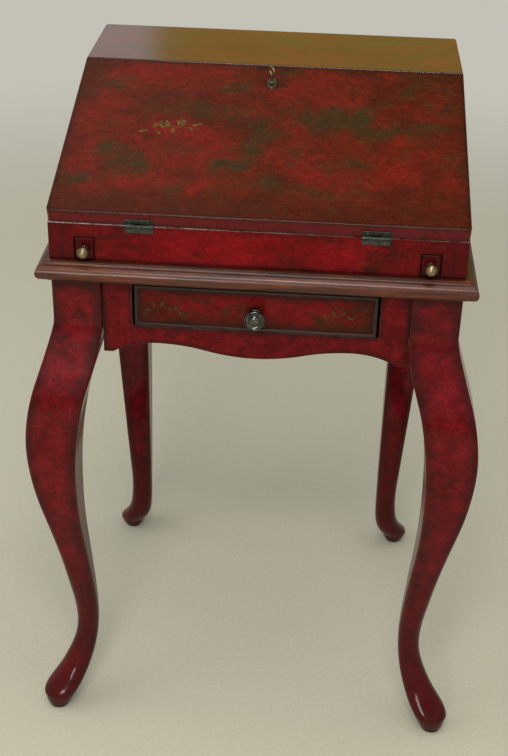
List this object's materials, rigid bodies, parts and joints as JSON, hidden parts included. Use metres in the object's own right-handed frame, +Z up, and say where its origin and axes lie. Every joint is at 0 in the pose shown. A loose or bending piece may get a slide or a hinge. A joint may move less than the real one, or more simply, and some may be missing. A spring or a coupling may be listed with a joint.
{
  "type": "escritoire",
  "caption": "Slope-front writing desk on cabriole legs: a locking fall folds down level onto pull-out lopers, with a nest inside and a drawer in the stand.",
  "frame": {"origin": "on the floor, under the middle of the desk's width and depth", "axes": "+Z up, +Y to the back, +X to the right as seen from the front"},
  "size_m": [0.578, 0.4856, 0.8718],
  "materials": {
    "red_lacquer": "glossy crackled red lacquer",
    "brown_moulding": "polished brown wood",
    "loper_lacquer": "dark red lacquer",
    "brown_bead": "dark polished wood",
    "bare_wood": "plain planed wood",
    "old_brass": "worn polish",
    "hinge_bronze": "dark antique",
    "dark_nickel": "polished",
    "pewter": "worn",
    "lock_steel": "plain"
  },
  "bodies": {
    "desk": {"back_apron": "bare_wood", "back_left_leg": "red_lacquer", "back_right_leg": "red_lacquer", "case_back": "bare_wood", "front_apron": "red_lacquer", "front_left_leg": "red_lacquer", "front_moulding": "brown_moulding", "front_rail": "red_lacquer", "front_right_leg": "red_lacquer", "glue_blocks": "bare_wood", "left_apron": "red_lacquer", "left_case_side": "red_lacquer", "left_divider": "red_lacquer", "left_drawer_runner": "bare_wood", "left_hinge_pin": "hinge_bronze", "left_inner_guide": "bare_wood", "left_moulding": "brown_moulding", "left_outer_guide": "bare_wood", "left_rail_hinge_leaf": "hinge_bronze", "nest_shelf": "red_lacquer", "right_apron": "red_lacquer", "right_case_side": "red_lacquer", "right_divider": "red_lacquer", "right_drawer_runner": "bare_wood", "right_hinge_pin": "hinge_bronze", "right_inner_guide": "bare_wood", "right_moulding": "brown_moulding", "right_outer_guide": "bare_wood", "right_rail_hinge_leaf": "hinge_bronze", "stand_top": "bare_wood", "strike_plate": "lock_steel", "top_board": "red_lacquer", "writing_bed": "red_lacquer"},
    "fall": {"fall_board": "red_lacquer", "left_fall_hinge_leaf": "hinge_bronze", "right_fall_hinge_leaf": "hinge_bronze", "lock_case": "lock_steel", "escutcheon": "pewter"},
    "key": {"key": "pewter"},
    "lock_bolt": {"lock_bolt": "lock_steel"},
    "left_loper": {"left_loper": "loper_lacquer", "left_loper_knob": "old_brass"},
    "right_loper": {"right_loper": "loper_lacquer", "right_loper_knob": "old_brass"},
    "drawer": {"drawer_back": "bare_wood", "drawer_bead": "brown_bead", "drawer_bottom": "bare_wood", "drawer_front": "red_lacquer", "drawer_knob": "dark_nickel", "drawer_left_side": "bare_wood", "drawer_right_side": "bare_wood"},
    "small_drawer": {"small_drawer_back": "bare_wood", "small_drawer_bottom": "bare_wood", "small_drawer_front": "red_lacquer", "small_drawer_knob": "old_brass", "small_drawer_left_side": "bare_wood", "small_drawer_right_side": "bare_wood"}
  },
  "joints": [
    {"name": "fall_hinge", "type": "hinge", "parent": "desk", "child": "fall", "pos_m": [0, -0.20385, 0.75151], "axis": [1, 0, 0], "range_deg": [0, 163]},
    {"name": "left_loper_slide", "type": "slide", "parent": "desk", "child": "left_loper", "axis": [0, -1, 0], "range_m": [0, 0.21]},
    {"name": "right_loper_slide", "type": "slide", "parent": "desk", "child": "right_loper", "axis": [0, -1, 0], "range_m": [0, 0.21]},
    {"name": "drawer_slide", "type": "slide", "parent": "desk", "child": "drawer", "axis": [0, -1, 0], "range_m": [0, 0.26]},
    {"name": "small_drawer_slide", "type": "slide", "parent": "desk", "child": "small_drawer", "axis": [0, -1, 0], "range_m": [0, 0.09]},
    {"name": "key_turn", "type": "hinge", "parent": "fall", "child": "key", "pos_m": [0, 0.04754, 0.84679], "axis": [0, -0.2924, 0.9563], "range_deg": [0, 180]},
    {"name": "bolt_slide", "type": "slide", "parent": "fall", "child": "lock_bolt", "axis": [0, 0.9563, 0.2924], "range_m": [0, 0.006]}
  ],
  "couplings": [
    {"joint": "key_turn", "follows": "bolt_slide", "rad_per_m": 523.6}
  ]
}
